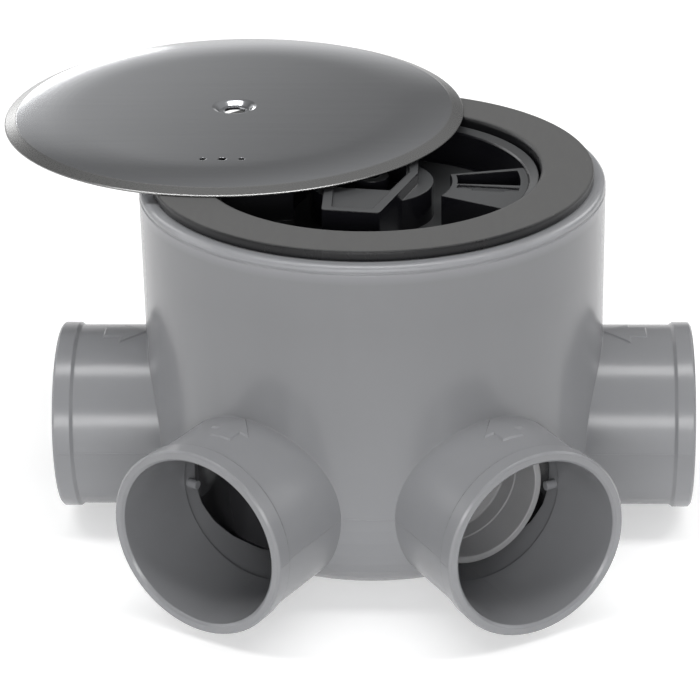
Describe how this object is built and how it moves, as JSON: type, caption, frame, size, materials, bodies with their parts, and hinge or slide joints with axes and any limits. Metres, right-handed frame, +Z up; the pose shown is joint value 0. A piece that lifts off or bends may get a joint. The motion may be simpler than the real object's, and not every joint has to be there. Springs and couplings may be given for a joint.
{
  "type": "gully trap",
  "caption": "Grey plastic floor gully with pipe sockets round its foot, a black screwed collar, a turning cleaning cap and a loose steel cover plate.",
  "frame": {"origin": "middle of the pot's flat foot, on the pot's axis", "axes": "+Z up along the pot's axis, +X along the right-hand inlet, towards the pipe that leaves it; the front inlets are on the -Y side and the outlet is at 120 degrees"},
  "size_m": [0.1687, 0.1707, 0.0919],
  "materials": {
    "pot_plastic": "satin grey moulded plastic",
    "sleeve_plastic": "glossy black moulded plastic",
    "plug_plastic": "satin light grey moulded plastic",
    "collar_plastic": "satin black moulded plastic",
    "cap_plastic": "semi-gloss black moulded plastic",
    "gasket_rubber": "matte black rubber",
    "plate_steel": "finely brushed stainless sheet"
  },
  "bodies": {
    "pot_body": {"pot": "pot_plastic", "siphon_sleeve": "sleeve_plastic", "cleaning_plug": "plug_plastic"},
    "seal_body": {"collar_gasket": "gasket_rubber"},
    "collar_body": {"collar": "collar_plastic", "cover_plate": "plate_steel"},
    "cap_body": {"cap": "cap_plastic", "cap_gasket": "gasket_rubber"}
  },
  "joints": [
    {"name": "collar_lift", "type": "slide", "parent": "pot_body", "child": "seal_body", "axis": [0, 0, 1], "range_m": [0, 0.0081]},
    {"name": "collar_turn", "type": "hinge", "parent": "seal_body", "child": "collar_body", "pos_m": [0, 0, 0.0875], "axis": [0, 0, 1], "range_deg": [0, 720]},
    {"name": "cap_turn", "type": "hinge", "parent": "collar_body", "child": "cap_body", "pos_m": [0, 0, 0.085], "axis": [0, 0, 1], "range_deg": [0, 60]}
  ],
  "couplings": [
    {"joint": "collar_lift", "follows": "collar_turn", "m_per_rad": 0.00063662}
  ]
}
